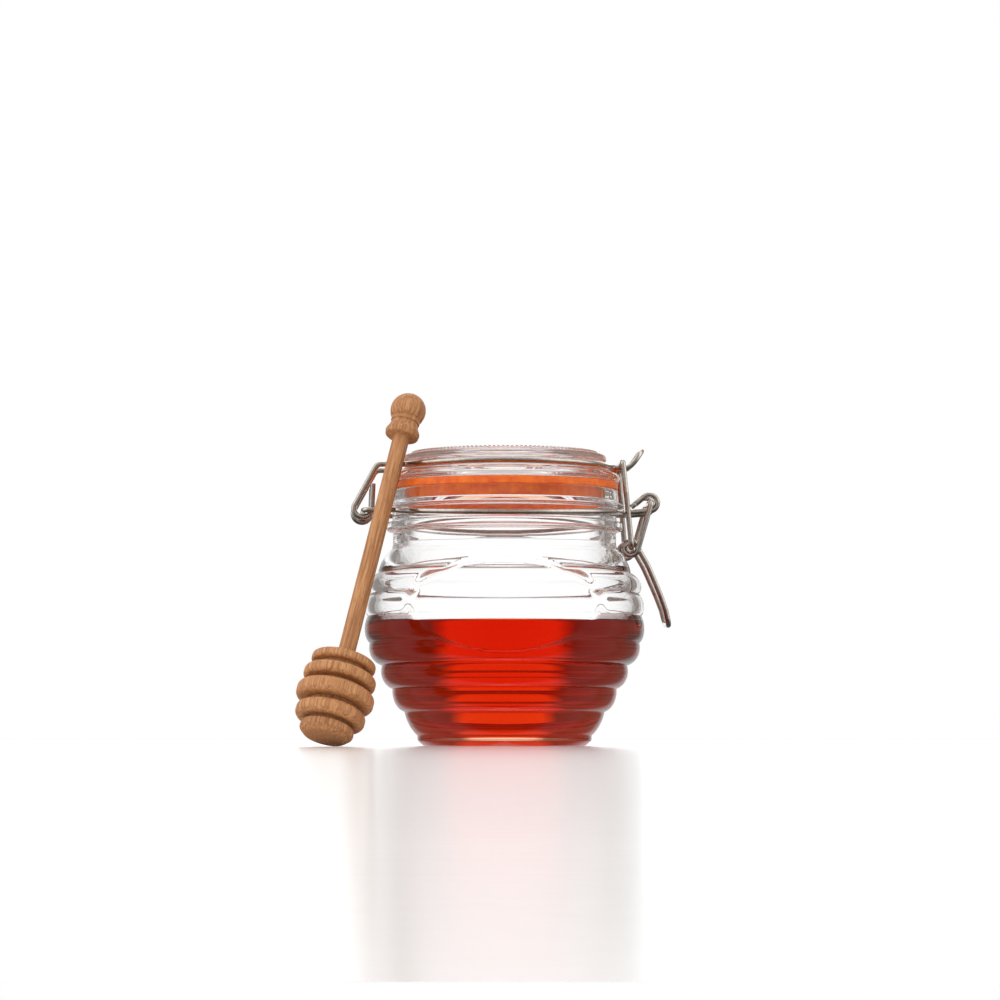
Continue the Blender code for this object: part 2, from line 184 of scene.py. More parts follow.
@dataclass(frozen=True)
class PressedGlass(Finish):
    """Soda-lime glass pressed and blown in an iron mould: clear, with a faint waviness of its skin."""

    name: str = "pressed_soda_lime_glass"
    ior: float = 1.52
    wave_mm: float = 9.0
    wave_height_mm: float = 0.02

    def dress(self, tree: bpy.types.NodeTree, shader: bpy.types.Node) -> None:
        """Clear transmission, with the mould's slow waves as bump."""
        shader.inputs["Base Color"].default_value = linear("FDFEFE")
        shader.inputs["Roughness"].default_value = 0.0
        shader.inputs["IOR"].default_value = self.ior
        shader.inputs["Transmission Weight"].default_value = 1.0
        waves = add_node(
            tree, "ShaderNodeTexNoise",
            values={"Scale": 1.0 / (self.wave_mm * MM), "Detail": 1.5, "Roughness": 0.4},
            links={"Vector": self.coordinates(tree)},
        )
        self.raise_skin(tree, shader, waves.outputs["Fac"], self.wave_height_mm)


@dataclass(frozen=True)
class HoneyedGlass(PressedGlass):
    """The same glass where honey wets it: the two bend light almost alike, so the wall all but vanishes.

    Its IOR is that of the step between the two, glass's 1.52 divided by honey's 1.49.
    """

    name: str = "soda_lime_glass_wetted_by_honey"
    ior: float = 1.02


@dataclass(frozen=True)
class ClearHoney(Finish):
    """Clear runny honey: it swallows green and blue light, so a deep layer glows red and a thin one gold."""

    name: str = "clear_runny_honey"
    ior: float = 1.49
    density: float = 85.0
    passed: tuple[float, float, float] = (0.941, 0.4, 0.0)
    swirl_mm: float = 14.0
    swirl_height_mm: float = 0.012

    def dress(self, tree: bpy.types.NodeTree, shader: bpy.types.Node) -> None:
        """Clear surface over an absorbing volume, with slow swirls as bump.

        Only the free top bends light as honey in air does. Against the glass the wall's own finish does the
        bending, so there the honey's IOR is 1. The IOR comes from a face attribute; the shader's constant
        stays 1.49. A linked IOR isn't in the exported model.
        """
        shader.inputs["Base Color"].default_value = (1.0, 1.0, 1.0, 1.0)
        shader.inputs["Roughness"].default_value = 0.0
        shader.inputs["IOR"].default_value = self.ior
        shader.inputs["Transmission Weight"].default_value = 1.0
        open_top = add_node(tree, "ShaderNodeAttribute", settings={"attribute_name": OPEN_TOP})
        bending = add_node(
            tree, "ShaderNodeMapRange",
            values={"To Min": 1.0, "To Max": self.ior},
            links={"Value": open_top.outputs["Fac"]},
        )
        tree.links.new(bending.outputs["Result"], shader.inputs["IOR"])
        swirls = add_node(
            tree, "ShaderNodeTexNoise",
            values={"Scale": 1.0 / (self.swirl_mm * MM), "Detail": 2.0},
            links={"Vector": self.coordinates(tree)},
        )
        self.raise_skin(tree, shader, swirls.outputs["Fac"], self.swirl_height_mm)
        depth = add_node(
            tree, "ShaderNodeVolumeAbsorption",
            values={"Color": (*self.passed, 1.0), "Density": self.density},
        )
        output = next(node for node in tree.nodes if node.type == "OUTPUT_MATERIAL")
        tree.links.new(depth.outputs["Volume"], output.inputs["Volume"])


@dataclass(frozen=True)
class MouldedRubber(Finish):
    """Orange natural rubber, moulded flat: soft sheen, with a fine bloom of dust that dulls it in patches."""

    name: str = "moulded_orange_rubber"
    bloom_mm: float = 3.0
    skin_mm: float = 0.4
    skin_height_mm: float = 0.03

    def dress(self, tree: bpy.types.NodeTree, shader: bpy.types.Node) -> None:
        """Orange with a patchy bloom and a fine skin."""
        place = self.coordinates(tree)
        bloom = add_node(
            tree, "ShaderNodeTexNoise",
            values={"Scale": 1.0 / (self.bloom_mm * MM), "Detail": 4.0},
            links={"Vector": place},
        )
        ramp = add_node(tree, "ShaderNodeValToRGB", links={"Fac": bloom.outputs["Fac"]})
        set_ramp(ramp, ((0.35, linear("DA5A0C")), (0.65, linear("EC7418"))))
        tree.links.new(ramp.outputs["Color"], shader.inputs["Base Color"])
        skin = add_node(
            tree, "ShaderNodeTexNoise",
            values={"Scale": 1.0 / (self.skin_mm * MM), "Detail": 2.0},
            links={"Vector": place},
        )
        self.raise_skin(tree, shader, skin.outputs["Fac"], self.skin_height_mm, 0.4)
        shader.inputs["Roughness"].default_value = 0.5
        shader.inputs["Subsurface Weight"].default_value = 0.5
        shader.inputs["Subsurface Scale"].default_value = 1.5 * MM


@dataclass(frozen=True)
class DrawnSteelWire(Finish):
    """Stainless wire drawn through a die: bright, with fine scuffs that soften its highlights."""

    name: str = "drawn_stainless_wire"
    scuff_mm: float = 0.9

    def dress(self, tree: bpy.types.NodeTree, shader: bpy.types.Node) -> None:
        """Metal whose roughness varies with its scuffs."""
        shader.inputs["Metallic"].default_value = 1.0
        place = self.coordinates(tree)
        scuffs = add_node(
            tree, "ShaderNodeTexNoise",
            values={"Scale": 1.0 / (self.scuff_mm * MM), "Detail": 5.0, "Roughness": 0.6},
            links={"Vector": place},
        )
        tone = add_node(tree, "ShaderNodeValToRGB", links={"Fac": scuffs.outputs["Fac"]})
        set_ramp(tone, ((0.3, linear("B9B0A8")), (0.7, linear("D8D2CB"))))
        tree.links.new(tone.outputs["Color"], shader.inputs["Base Color"])
        gloss = add_node(
            tree, "ShaderNodeMapRange",
            values={"From Min": 0.3, "From Max": 0.7, "To Min": 0.14, "To Max": 0.2},
            links={"Value": scuffs.outputs["Fac"]},
        )
        tree.links.new(gloss.outputs["Result"], shader.inputs["Roughness"])


@dataclass(frozen=True)
class TurnedBeech(Finish):
    """Steamed beech turned on a lathe: pinkish tan, straight pale grain and short brown ray flecks."""

    name: str = "turned_steamed_beech"
    foot: tuple[float, float, float] = (0.0, 0.0, 0.0)
    tilt: tuple[float, float, float] = (0.0, 0.0, 0.0)
    grain_mm: float = 0.75
    grain_run: float = 22.0
    grain_height_mm: float = 0.06
    fleck_mm: float = 0.7
    fleck_run: float = 6.0
    head_mm: float = 30.0
    # Radii over which the painted shade in the head's grooves fades out.
    groove_shade_mm: tuple[float, float] = (7.6, 9.6)

    def dress(self, tree: bpy.types.NodeTree, shader: bpy.types.Node) -> None:
        """Grain and flecks along the dipper, with painted shade in the head's grooves and a darker handle."""
        along = add_node(
            tree, "ShaderNodeMapping",
            settings={"vector_type": "TEXTURE"},
            values={"Location": self.foot, "Rotation": self.tilt},
            links={"Vector": self.coordinates(tree)},
        ).outputs["Vector"]
        grain_place = add_node(
            tree, "ShaderNodeVectorMath",
            settings={"operation": "MULTIPLY"},
            values={1: (1.0, 1.0, 1.0 / self.grain_run)},
            links={0: along},
        )
        grain = add_node(
            tree, "ShaderNodeTexNoise",
            values={"Scale": 1.0 / (self.grain_mm * MM), "Detail": 4.0, "Roughness": 0.6},
            links={"Vector": grain_place.outputs["Vector"]},
        )
        tone = add_node(tree, "ShaderNodeValToRGB", links={"Fac": grain.outputs["Fac"]})
        set_ramp(tone, ((0.30, linear("8E5C36")), (0.5, linear("B67C4C")), (0.70, linear("D29C68"))))
        fleck_place = add_node(
            tree, "ShaderNodeVectorMath",
            settings={"operation": "MULTIPLY"},
            values={1: (1.0, 1.0, 1.0 / self.fleck_run)},
            links={0: along},
        )
        fleck = add_node(
            tree, "ShaderNodeTexVoronoi",
            values={"Scale": 1.0 / (self.fleck_mm * MM)},
            links={"Vector": fleck_place.outputs["Vector"]},
        )
        fleck_mask = add_node(tree, "ShaderNodeValToRGB", links={"Fac": fleck.outputs["Distance"]})
        set_ramp(fleck_mask, ((0.12, (0.75, 0.75, 0.75, 1.0)), (0.24, (0.0, 0.0, 0.0, 1.0))))
        flecked = add_node(
            tree, "ShaderNodeMix",
            settings={"data_type": "RGBA"},
            values={7: linear("8A5433")},
            links={0: fleck_mask.outputs["Color"], 6: tone.outputs["Color"]},
        )
        spots = add_node(tree, "ShaderNodeSeparateXYZ", links={"Vector": along})
        flat = add_node(
            tree, "ShaderNodeCombineXYZ",
            links={"X": spots.outputs["X"], "Y": spots.outputs["Y"]},
        )
        radius = add_node(
            tree, "ShaderNodeVectorMath",
            settings={"operation": "LENGTH"},
            links={0: flat.outputs["Vector"]},
        )
        # Painted shade: the colour darkens towards the floors of the head's grooves.
        depth = add_node(
            tree, "ShaderNodeMapRange",
            values={
                "From Min": self.groove_shade_mm[0] * MM,
                "From Max": self.groove_shade_mm[1] * MM,
                "To Min": 0.62,
                "To Max": 0.0,
            },
            links={"Value": radius.outputs["Value"]},
        )
        height = add_node(
            tree, "ShaderNodeMath",
            settings={"operation": "DIVIDE"},
            values={1: self.head_mm * MM},
            links={0: spots.outputs["Z"]},
        )
        head = add_node(tree, "ShaderNodeValToRGB", links={"Fac": height.outputs[0]})
        set_ramp(head, (
            (0.14, (0.0, 0.0, 0.0, 1.0)), (0.16, (1.0, 1.0, 1.0, 1.0)),
            (0.97, (1.0, 1.0, 1.0, 1.0)), (0.99, (0.0, 0.0, 0.0, 1.0)),
        ))
        # Painted groove shade, on the head only.
        groove = add_node(
            tree, "ShaderNodeMath",
            settings={"operation": "MULTIPLY"},
            links={0: depth.outputs["Result"], 1: head.outputs["Color"]},
        )
        handled = add_node(
            tree, "ShaderNodeMapRange",
            values={"To Min": 0.13, "To Max": 0.0},
            links={"Value": head.outputs["Color"]},
        )
        # Painted groove shade plus the handle's own darker tone.
        darker = add_node(
            tree, "ShaderNodeMath",
            settings={"operation": "ADD"},
            links={0: groove.outputs[0], 1: handled.outputs["Result"]},
        )
        # Mix towards dark brown by the painted groove shade and the handle's darker tone.
        groove_shade_and_handle_tone = add_node(
            tree, "ShaderNodeMix",
            settings={"data_type": "RGBA"},
            values={7: linear("5E3418")},
            links={0: darker.outputs[0], 6: flecked.outputs[2]},
        )
        tree.links.new(groove_shade_and_handle_tone.outputs[2], shader.inputs["Base Color"])
        self.raise_skin(tree, shader, grain.outputs["Fac"], self.grain_height_mm, 0.6)
        shader.inputs["Roughness"].default_value = 0.55


@dataclass(frozen=True)
class FloorCard(Finish):
    """White satin card under the jar, smooth enough to mirror it softly."""

    name: str = "white_card"

    def dress(self, tree: bpy.types.NodeTree, shader: bpy.types.Node) -> None:
        """White with a paper tooth."""
        tooth = add_node(
            tree, "ShaderNodeTexNoise",
            values={"Scale": 400.0},
            links={"Vector": self.coordinates(tree)},
        )
        ramp = add_node(tree, "ShaderNodeValToRGB", links={"Fac": tooth.outputs["Fac"]})
        set_ramp(ramp, ((0.0, linear("F6F6F5")), (1.0, linear("FCFCFB"))))
        tree.links.new(ramp.outputs["Color"], shader.inputs["Base Color"])
        shader.inputs["Roughness"].default_value = 0.16


def bezier(corners: Sequence[tuple[float, float]], steps: int) -> Outline:
    """Sample a cubic curve.

    Args:
        corners: Start, two handles and end.
        steps: Number of points.

    Returns:
        Points after the start, the end included.
    """
    points = []
    for step in range(1, steps + 1):
        t = step / steps
        weights = ((1 - t) ** 3, 3 * t * (1 - t) ** 2, 3 * t * t * (1 - t), t ** 3)
        points.append(tuple(sum(w * c[axis] for w, c in zip(weights, corners)) for axis in (0, 1)))
    return points


def through(knots: Sequence[tuple[float, float]], steps: int) -> Outline:
    """Draw a smooth outline through knots, with Catmull-Rom spans.

    Args:
        knots: Points that the outline passes.
        steps: Points per span.

    Returns:
        The outline, both ends included.
    """
    points = [tuple(knots[0])]
    for index in range(len(knots) - 1):
        before = knots[max(index - 1, 0)]
        start, end = knots[index], knots[index + 1]
        after = knots[min(index + 2, len(knots) - 1)]
        handle_a = tuple(start[axis] + (end[axis] - before[axis]) / 6.0 for axis in (0, 1))
        handle_b = tuple(end[axis] - (after[axis] - start[axis]) / 6.0 for axis in (0, 1))
        points += bezier((start, handle_a, handle_b, end), steps)
    return points


def rounded_route(corners: Sequence[tuple[Sequence[float], float]], step_deg: float = 10.0) -> Route:
    """Route through corners with each bend drawn as an arc.

    Args:
        corners: Each corner and its bend radius.
        step_deg: Turn between two points of a bend.

    Returns:
        Points of the route.
    """
    route: Route = []
    for index, (spot, radius) in enumerate(corners):
        corner = Vector(spot)
        if radius <= 0.0 or index in (0, len(corners) - 1):
            route.append(corner)
            continue
        before = (Vector(corners[index - 1][0]) - corner).normalized()
        after = (Vector(corners[index + 1][0]) - corner).normalized()
        half = before.angle(after) / 2.0
        sweep = math.pi - 2.0 * half
        middle = corner + (before + after).normalized() * (radius / math.sin(half))
        start = corner + before * (radius / math.tan(half)) - middle
        axis = before.cross(after).normalized()
        steps = max(2, math.ceil(math.degrees(sweep) / step_deg))
        for step in range(steps + 1):
            route.append(middle + Matrix.Rotation(-sweep * step / steps, 3, axis) @ start)
    return route


def filleted(corners: Sequence[tuple[float, float, float]], step_deg: float = 15.0) -> Outline:
    """Outline through (radius, height) corners, each with a fillet radius.

    Args:
        corners: Radius, height and fillet radius of each corner.
        step_deg: Turn between two points of a fillet.

    Returns:
        The outline.
    """
    route = rounded_route([((r, 0.0, z), fillet) for r, z, fillet in corners], step_deg)
    return [(point.x, point.z) for point in route]


def turned_shape(outline: Outline, steps: int, closed: bool = False) -> bmesh.types.BMesh:
    """Spin an outline round Z.

    Args:
        outline: Radius and height of each point, in millimetres.
        steps: Divisions of the full turn.
        closed: Whether the last point joins the first.

    Returns:
        The turned shape, in metres.
    """
    shape = bmesh.new()
    ring = [shape.verts.new((radius * MM, 0.0, height * MM)) for radius, height in outline]
    edges = [shape.edges.new(pair) for pair in zip(ring, ring[1:])]
    if closed:
        edges.append(shape.edges.new((ring[-1], ring[0])))
    bmesh.ops.spin(
        shape,
        geom=ring + edges,
        axis=(0.0, 0.0, 1.0),
        cent=(0.0, 0.0, 0.0),
        angle=2.0 * math.pi,
        steps=steps,
        use_merge=True,
    )
    bmesh.ops.remove_doubles(shape, verts=shape.verts, dist=1e-7)
    bmesh.ops.recalc_face_normals(shape, faces=shape.faces)
    return shape


def make_piece(
    name: str,
    shape: bmesh.types.BMesh,
    finishes: Sequence[Finish],
    slot: Slot,
    nodes: Sequence[str],
    sharp_deg: float = 60.0,
) -> bpy.types.Object:
    """Turn a finished bmesh to a piece that rides on the jar and stands for its solids.

    Args:
        name: The piece's name.
        shape: Its mesh, which is freed.
        finishes: Its finishes, by the faces' material index.
        slot: The record's slot; not used.
        nodes: The CAD nodes that it stands for.
        sharp_deg: Edges that turn more than this stay sharp.

    Returns:
        The piece.
    """
    mesh = bpy.data.meshes.new(name)
    shape.to_mesh(mesh)
    shape.free()
    for finish in finishes:
        mesh.materials.append(finish.material())
    mesh.shade_smooth()
    mesh.set_sharp_from_angle(angle=math.radians(sharp_deg))
    piece = bpy.data.objects.new(name, mesh)
    bpy.context.scene.collection.objects.link(piece)
    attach(piece, "root")
    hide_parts(*nodes)
    LOG.info("%s: %d faces", name, len(mesh.polygons))
    return piece


@dataclass
class RibbedJar:
    """The ribbed glass jar with the smooth oval pad at its front."""

    finish: Finish = field(default_factory=PressedGlass)
    wetted: Finish = field(default_factory=HoneyedGlass)
    steps: int = 320
    rib_steps: int = 12
    honey_level: float = 43.7
    foot: tuple[tuple[float, float, float], ...] = (
        (0.0, 0.3, 0.0), (23.5, 0.3, 2.0), (25.5, 0.0, 1.2), (29.1, 0.0, 1.4), (31.3, 1.9, 0.8),
    )
    foot_top: tuple[float, float] = (31.4, 3.8)
    ribs: tuple[tuple[float, float, float, float], ...] = (
        (36.0, 12.2, 35.6, 0.41), (40.4, 20.5, 40.6, 0.74), (44.2, 28.9, 45.2, 0.70),
        (48.6, 37.0, 49.4, 0.74), (49.4, 46.7, 51.2, 0.74), (48.5, 54.8, 51.0, 0.74),
        (45.6, 62.3, 50.3, 0.74), (40.7, 70.8, 44.4, 0.0),
    )
    neck: tuple[tuple[float, float, float], ...] = (
        (40.7, 70.8, 0.0), (40.3, 72.5, 3.0), (40.3, 76.9, 0.6), (42.6, 77.4, 1.1), (42.6, 80.4, 0.8),
        (40.6, 80.6, 0.6), (40.6, 85.3, 0.6), (43.3, 85.5, 0.5), (43.4, 86.2, 0.5), (41.0, 87.8, 0.9),
        (41.0, 92.1, 0.9), (38.7, 92.1, 0.0), (36.4, 92.1, 0.9), (36.4, 90.0, 0.0),
    )
    wall: tuple[tuple[float, float], ...] = (
        (36.4, 90.0), (36.4, 82.0), (36.5, 73.5), (37.4, 70.0), (40.4, 65.8), (42.7, 62.2), (44.9, 59.6),
        (46.1, 57.0), (45.8, 54.2), (47.0, 50.2), (46.3, 46.6), (46.3, 44.0), (44.6, 36.4),
        (41.0, 28.4), (37.3, 20.0), (33.6, 12.4), (30.8, 7.6), (28.6, 4.0), (26.6, 2.0), (25.0, 1.7),
        (23.2, 2.6), (20.6, 3.7), (14.0, 4.7), (0.0, 5.0),
    )
    dome_edge: float = 26.5
    foot_skin: float = 1.4
    wall_margin: float = 1.0
    rib_rise: tuple[float, float] = (0.15, 0.63)
    pad_turn: float = math.radians(-3.0)
    pad_half: tuple[float, float] = (33.0, 16.2)
    pad_height: float = 49.3
    pad_edge: float = 0.05
    pad_crown: tuple[float, float] = (50.6, 45.0)
    pad_fall: tuple[float, float] = (0.006, 0.011)
    pad_wall: float = 4.2
    pad_reach: tuple[float, float] = (30.0, 70.0)
    pad_above_honey: float = 1.5

    def __post_init__(self) -> None:
        """Work out the inner wall's radius by height."""
        side = (spot for spot in through(self.wall, 4) if spot[0] > self.dome_edge)
        wall = sorted((height, radius) for radius, height in side)
        self.wall_heights = [height for height, radius in wall]
        self.wall_radii = [radius for height, radius in wall]

    def outline(self) -> Outline:
        """Return the whole outline, from under the foot over the rim to the floor inside."""
        points = filleted([*self.foot, (*self.foot_top, 0.0)])
        low = self.foot_top
        for radius, height, swell, share in self.ribs:
            rise = height - low[1]
            handle_a = (low[0] + share * (swell - low[0]), low[1] + self.rib_rise[0] * rise)
            handle_b = (swell, low[1] + self.rib_rise[1] * rise)
            points += bezier((low, handle_a, handle_b, (radius, height)), self.rib_steps)
            low = (radius, height)
        points += filleted(self.neck)[1:]
        points += through(self.wall, 4)[1:]
        return points

    def pad_radius(self, height: float) -> float:
        """Return the pad's radius at a height."""
        rise = height - self.pad_crown[1]
        return self.pad_crown[0] - self.pad_fall[rise > 0] * rise * rise

    def is_inside(self, spot: Vector) -> bool:
        """Tell whether a spot of the surface lies on the inner wall.

        Args:
            spot: The spot in metres.
        """
        wall = numpy.interp(spot.z / MM, self.wall_heights, self.wall_radii)
        beyond = math.hypot(spot.x, spot.y) / MM - wall
        return bool(spot.z > self.foot_skin * MM and beyond < self.wall_margin)

    def wet_wall(self, shape: bmesh.types.BMesh) -> None:
        """Give the inside below the honey's level the finish of wetted glass.

        Args:
            shape: The jar, in metres.
        """
        for face in shape.faces:
            middle = face.calc_center_median()
            if middle.z < self.honey_level * MM and self.is_inside(middle):
                face.material_index = 1

    def press_pad(self, shape: bmesh.types.BMesh) -> None:
        """Smooth the ribs to the oval pad, with a soft edge.

        Args:
            shape: The jar, in metres.
        """
        for vertex in shape.verts:
            radius = math.hypot(vertex.co.x, vertex.co.y) / MM
            height = vertex.co.z / MM
            target = self.pad_radius(height)
            if vertex.co.y > 0 or not self.pad_reach[0] <= height <= self.pad_reach[1]:
                continue
            if self.is_inside(vertex.co):
                if height < self.honey_level + self.pad_above_honey:
                    continue
                target = min(target - self.pad_wall, radius)
            angle = math.atan2(vertex.co.x, -vertex.co.y) - self.pad_turn
            across = target * math.sin(angle) / self.pad_half[0]
            up = (height - self.pad_height) / self.pad_half[1]
            inward = (1.0 + self.pad_edge - math.hypot(across, up)) / (2.0 * self.pad_edge)
            blend = min(max(inward, 0.0), 1.0)
            blend = blend * blend * (3.0 - 2.0 * blend)
            scale = (radius + (target - radius) * blend) / radius
            vertex.co.x *= scale
            vertex.co.y *= scale

    def build(self) -> bpy.types.Object:
        """Build the jar."""
        shape = turned_shape(self.outline(), self.steps)
        self.press_pad(shape)
        self.wet_wall(shape)
        return make_piece("ribbed_glass_jar", shape, [self.finish, self.wetted], Slot.GLASS, ["jar"])


@dataclass
class HoneyFill:
    """The honey, which reaches just into the wall so that no air gap shows."""

    jar: RibbedJar
    finish: Finish = field(default_factory=ClearHoney)
    steps: int = 240
    reach: float = 0.15
    meniscus: float = 0.6
    meniscus_width: float = 1.6

    def build(self) -> bpy.types.Object:
        """Build the honey up to its level, with the edge drawn up the glass."""
        level = self.jar.honey_level
        wall = [point for point in through(self.jar.wall, 4) if point[1] < level + self.meniscus]
        side = [(radius + self.reach, height - self.reach) for radius, height in wall[:-1]]
        edge = side[0][0]
        surface = [
            (edge - self.meniscus_width * share, level + self.meniscus * (1.0 - share) ** 2)
            for share in (0.0, 0.15, 0.3, 0.5, 0.75, 1.0)
        ]
        outline = [(0.0, level), (edge * 0.5, level), *reversed(surface), *side]
        outline.append((0.0, wall[-1][1] - self.reach))
        shape = turned_shape(outline, self.steps)
        open_top = shape.faces.layers.float.new(OPEN_TOP)
        for face in shape.faces:
            face[open_top] = 1.0 if face.normal.z > 0.3 else 0.0
        return make_piece("honey_fill", shape, [self.finish], Slot.HONEY, ["honey"])


@dataclass
class ClipLid:
    """The glass lid and the rubber ring that it presses on the rim."""

    glass: Finish = field(default_factory=PressedGlass)
    rubber: Finish = field(default_factory=MouldedRubber)
    steps: int = 520
    tooth_every: int = 4
    tooth_height: float = 0.35
    profile: tuple[tuple[float, float, float], ...] = (
        (0.0, 98.8, 0.0), (20.0, 98.8, 8.0), (30.6, 97.9, 2.4), (32.5, 90.8, 0.6), (34.4, 90.8, 0.6),
        (34.6, 94.8, 0.3), (41.3, 94.8, 0.9), (41.8, 96.4, 1.2),
        (41.2, 98.0, 0.9), (38.7, 98.7, 0.5), (38.4, 99.2, 0.0), (36.3, 99.2, 0.3), (36.2, 101.6, 0.8),
        (36.9, 102.9, 1.0), (36.7, 104.6, 1.1), (34.4, 105.2, 0.6), (34.0, 105.3, 0.0), (33.6, 105.6, 0.0),
        (32.8, 105.6, 0.0), (32.3, 105.2, 0.0), (30.4, 104.0, 1.0), (26.0, 103.6, 2.0), (0.0, 103.4, 0.0),
    )
    tooth_band: tuple[float, float] = (32.7, 33.7)
    tooth_foot: float = 105.5
    ring_steps: int = 240
    ring: tuple[tuple[float, float, float], ...] = (
        (34.9, 87.3, 0.5), (36.1, 87.3, 0.5), (36.1, 91.5, 0.3), (36.9, 92.05, 0.2), (41.0, 92.05, 0.5),
        (41.0, 94.85, 0.5), (34.9, 94.85, 0.2),
    )
    seam: tuple[float, float] = (91.0, 91.1)

    def build(self) -> list[bpy.types.Object]:
        """Build the lid with its ring of small teeth, and the rubber ring."""
        lid = turned_shape(filleted(self.profile), self.steps)
        for vertex in lid.verts:
            radius = math.hypot(vertex.co.x, vertex.co.y) / MM
            if vertex.co.z > self.tooth_foot * MM and self.tooth_band[0] < radius < self.tooth_band[1]:
                turn = math.atan2(vertex.co.y, vertex.co.x) / (2.0 * math.pi) * self.steps
                if round(turn) % self.tooth_every in (0, 1):
                    vertex.co.z += self.tooth_height * MM
        inner = self.ring[0][0]
        corners = [(inner, self.seam[0], 0.0), *self.ring, (inner, self.seam[1], 0.0)]
        seal = turned_shape(filleted(corners, 30.0), self.ring_steps, closed=True)
        return [
            make_piece("clip_lid_glass", lid, [self.glass], Slot.GLASS, ["lid"], sharp_deg=50.0),
            make_piece("seal_ring", seal, [self.rubber], Slot.RUBBER, ["gasket"]),
        ]


@dataclass
class BentWire:
    """A round wire bent along a route."""

    name: str
    node: str
    closed: bool
    radius: float = 1.0
    finish: Finish = field(default_factory=DrawnSteelWire)
    bulges: tuple[tuple[int, float], ...] = ()

    def arc(
        self,
        centre: tuple[float, float],
        radius: float,
        turn: tuple[float, float],
        across: tuple[float, float],
    ) -> Route:
        """Bend the wire round a centre in the XZ plane.

        Args:
            centre: X and Z of the centre.
            radius: Bend radius.
            turn: Start and end angle, in radians.
            across: Y at the start and at the end.

        Returns:
            Points of the bend.
        """
        steps = max(3, math.ceil(abs(math.degrees(turn[1] - turn[0])) / 10.0))
        points = []
        for step in range(steps + 1):
            share = step / steps
            angle = turn[0] + (turn[1] - turn[0]) * share
            points.append(Vector((
                centre[0] + radius * math.cos(angle),
                across[0] + (across[1] - across[0]) * share,
                centre[1] + radius * math.sin(angle),
            )))
        return points

    def ring(self, radius: float, turn: tuple[float, float], height: Callable[[float], float]) -> Route:
        """Run the wire round the jar's axis.

        Args:
            radius: Radius of the wire's middle.
            turn: Start and end angle, in degrees.
            height: Height as a function of the angle.

        Returns:
            Points of the run.
        """
        steps = math.ceil(abs(turn[1] - turn[0]) / 3.0)
        points = []
        for step in range(steps + 1):
            angle = math.radians(turn[0] + (turn[1] - turn[0]) * step / steps)
            points.append(Vector((radius * math.cos(angle), radius * math.sin(angle), height(angle))))
        return points

    @staticmethod
    def mirrored(points: Route) -> Route:
        """Return the same route at the back, run the other way."""
        return [Vector((point.x, -point.y, point.z)) for point in reversed(points)]

    def route(self) -> Route:
        """Return the wire's route."""
        raise NotImplementedError

    def build(self) -> bpy.types.Object:
        """Build the wire as a mesh tube with flat ends."""
        points = self.route()
        curve = bpy.data.curves.new(self.name, "CURVE")
        curve.dimensions = "3D"
        curve.bevel_depth = self.radius * MM
        curve.bevel_resolution = 6
        curve.use_fill_caps = not self.closed
        spline = curve.splines.new("POLY")
        spline.points.add(len(points) - 1)
        for spot, point in zip(spline.points, points):
            spot.co = (*(point * MM), 1.0)
        for index, swell in self.bulges:
            spline.points[index].radius = swell
        spline.use_cyclic_u = self.closed
        spline.use_smooth = True
        scaffold = bpy.data.objects.new(self.name + "_route", curve)
        bpy.context.scene.collection.objects.link(scaffold)
        graph = bpy.context.evaluated_depsgraph_get()
        mesh = bpy.data.meshes.new_from_object(scaffold.evaluated_get(graph))
        bpy.data.objects.remove(scaffold, do_unlink=True)
        bpy.data.curves.remove(curve)
        shape = bmesh.new()
        shape.from_mesh(mesh)
        bpy.data.meshes.remove(mesh)
        bmesh.ops.remove_doubles(shape, verts=shape.verts, dist=1e-7)
        bmesh.ops.recalc_face_normals(shape, faces=shape.faces)
        return make_piece(self.name, shape, [self.finish], Slot.STEEL, [self.node])


@dataclass
class NeckWire(BentWire):
    """The wire in the jar's groove, with the hinge bar and the two hooks."""

    name: str = "neck_wire_bent"
    node: str = "neck_wire"
    closed: bool = False
    ring_radius: float = 42.0
    ring_front: float = 81.75
    strand_height: float = 84.0
    hook_y: float = 8.6
    hook_centre: tuple[float, float] = (51.8, 87.35)
    hook_radius: float = 2.9
    hook_tip: tuple[float, float] = (46.7, 86.8)
    bar_x: float = -51.2
    bar_y: float = 17.0

    def height(self, angle: float) -> float:
        """Return the ring's height, low at front and back."""
        return self.ring_front + (self.strand_height - self.ring_front) * math.cos(angle) ** 2

    def route(self) -> Route:
        """Return the wire's route."""
        z = self.strand_height
        tip = [Vector((self.hook_tip[0], -self.hook_y, self.hook_tip[1]))]
        turn = (math.radians(130.0), math.radians(-80.0))
        hook = self.arc(self.hook_centre, self.hook_radius, turn, (-self.hook_y, -self.hook_y))
        ring = self.ring(self.ring_radius, (-18.0, -152.0), self.height)
        latch = rounded_route((
            ((46.6, -self.hook_y, z), 0.0),
            ((41.9, -self.hook_y, z), 2.2),
            (ring[0], 0.0),
        ))
        hinge = rounded_route((
            (ring[-1], 0.0),
            ((-39.2, -self.bar_y, z), 2.5),
            ((self.bar_x, -self.bar_y, z), 2.5),
            ((self.bar_x, 0.0, z), 0.0),
        ))
        front = tip + hook + latch[:-1] + ring[:-1] + hinge[:-1]
        return front + self.mirrored(front)


